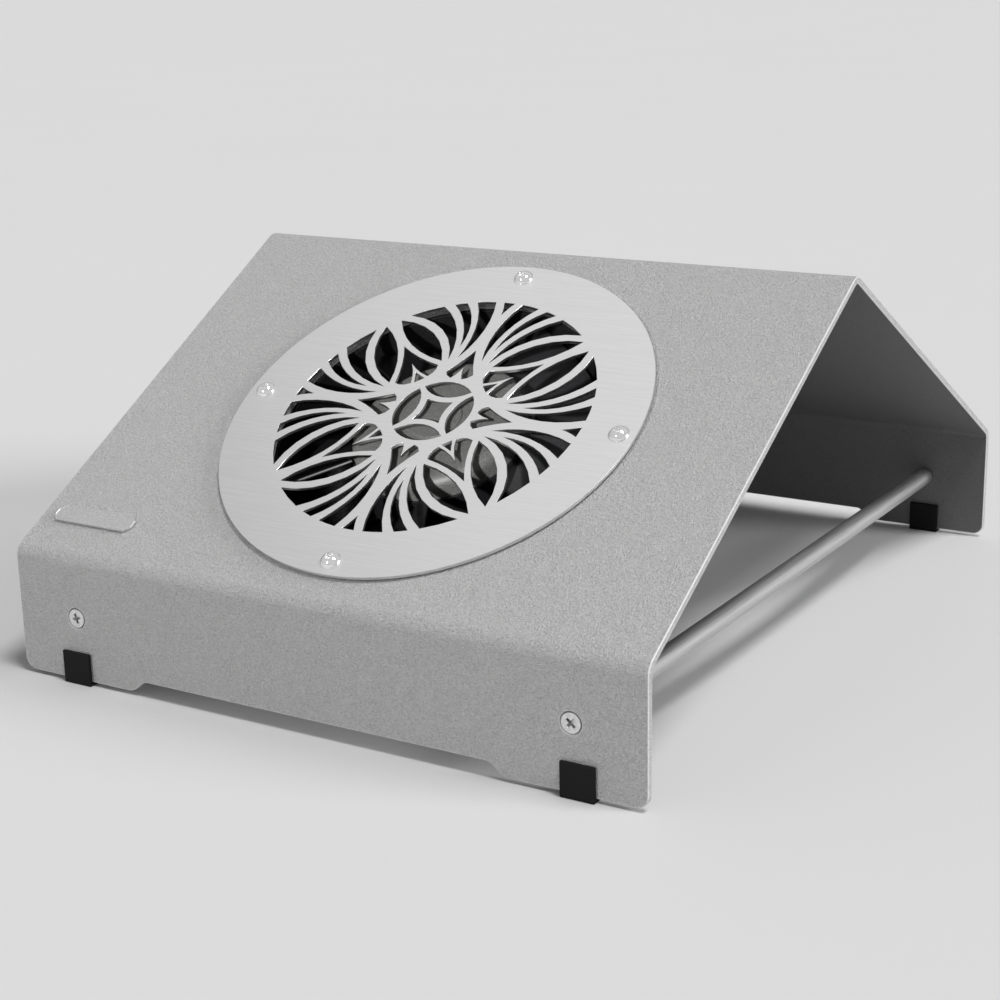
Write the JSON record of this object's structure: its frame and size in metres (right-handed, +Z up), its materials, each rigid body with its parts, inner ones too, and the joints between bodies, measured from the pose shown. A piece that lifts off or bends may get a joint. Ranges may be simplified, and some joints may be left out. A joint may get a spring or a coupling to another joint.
{
  "type": "nail dust collector",
  "caption": "Sloped desktop hand rest in bent steel, with a round floral grille over an axial fan that blows dust into a cloth bag.",
  "frame": {"origin": "floor level, in the middle of the object's box", "axes": "+X to the user's right, +Y to the rear, +Z up; the grille is in the slope that faces -Y and +Z"},
  "size_m": [0.318, 0.405, 0.173],
  "materials": {
    "powder_coat": "light grey fine-textured powder coat",
    "brushed_stainless": "brushed",
    "nameplate_metal": "brushed, blank",
    "chrome": "polished",
    "steel": "bright zinc plate",
    "rod_steel": "satin",
    "black_rubber": "matte",
    "black_casting": "black paint over a casting",
    "speckled_paint": "speckled dark grey paint",
    "lamination": "varnished stacked sheet",
    "copper": "enamelled copper wire",
    "brass": "bright",
    "black_plastic": "satin moulded",
    "rocker_plastic": "gloss",
    "lead_jacket": "satin",
    "bag_cloth": "dense woven filter cloth"
  },
  "bodies": {
    "base": {"housing": "powder_coat", "grille": "brushed_stainless", "grille_gasket": "black_rubber", "nameplate": "nameplate_metal", "fan_frame": "black_casting", "bearing_upper": "steel", "bearing_lower": "steel", "stator_core": "lamination", "terminal_block": "black_plastic", "terminal_tab_live": "brass", "terminal_tab_neutral": "brass", "dust_bag": "bag_cloth", "bag_band": "black_rubber", "tie_rod_left": "rod_steel", "tie_rod_right": "rod_steel", "inlet_shell": "black_plastic", "inlet_pin_live": "brass", "inlet_pin_neutral": "brass", "inlet_pin_earth": "brass", "inlet_screw_left": "steel", "inlet_screw_right": "steel", "inlet_nut_left": "steel", "inlet_nut_right": "steel", "switch_frame": "black_plastic", "switch_tab_upper": "brass", "switch_tab_lower": "brass", "fan_lead": "lead_jacket", "lead_clip_upper": "black_plastic", "lead_clip_lower": "black_plastic", "stator_coil_1": "copper", "stator_coil_2": "copper", "stator_coil_3": "copper", "stator_coil_4": "copper", "grille_screw_right": "chrome", "grille_nut_right": "steel", "grille_screw_top": "chrome", "grille_nut_top": "steel", "grille_screw_left": "chrome", "grille_nut_left": "steel", "grille_screw_bottom": "chrome", "grille_nut_bottom": "steel", "rod_screw_front_left": "steel", "foot_front_left": "black_rubber", "rod_screw_front_right": "steel", "foot_front_right": "black_rubber", "rod_screw_rear_left": "steel", "foot_rear_left": "black_rubber", "rod_screw_rear_right": "steel", "foot_rear_right": "black_rubber"},
    "rotor": {"rotor_shaft": "steel", "rotor_cup": "speckled_paint", "rotor_cage": "lamination", "impeller": "black_plastic", "shaft_clip": "steel"},
    "rocker": {"switch_rocker": "rocker_plastic"}
  },
  "joints": [
    {"name": "impeller_spin", "type": "hinge", "parent": "base", "child": "rotor", "pos_m": [0.0028, -0.10169, 0.11625], "axis": [0, -0.5, 0.866], "continuous": true},
    {"name": "switch_tilt", "type": "hinge", "parent": "base", "child": "rocker", "pos_m": [-0.042, 0.1945, 0.0327], "axis": [1, 0, 0], "range_deg": [0, 20]}
  ]
}
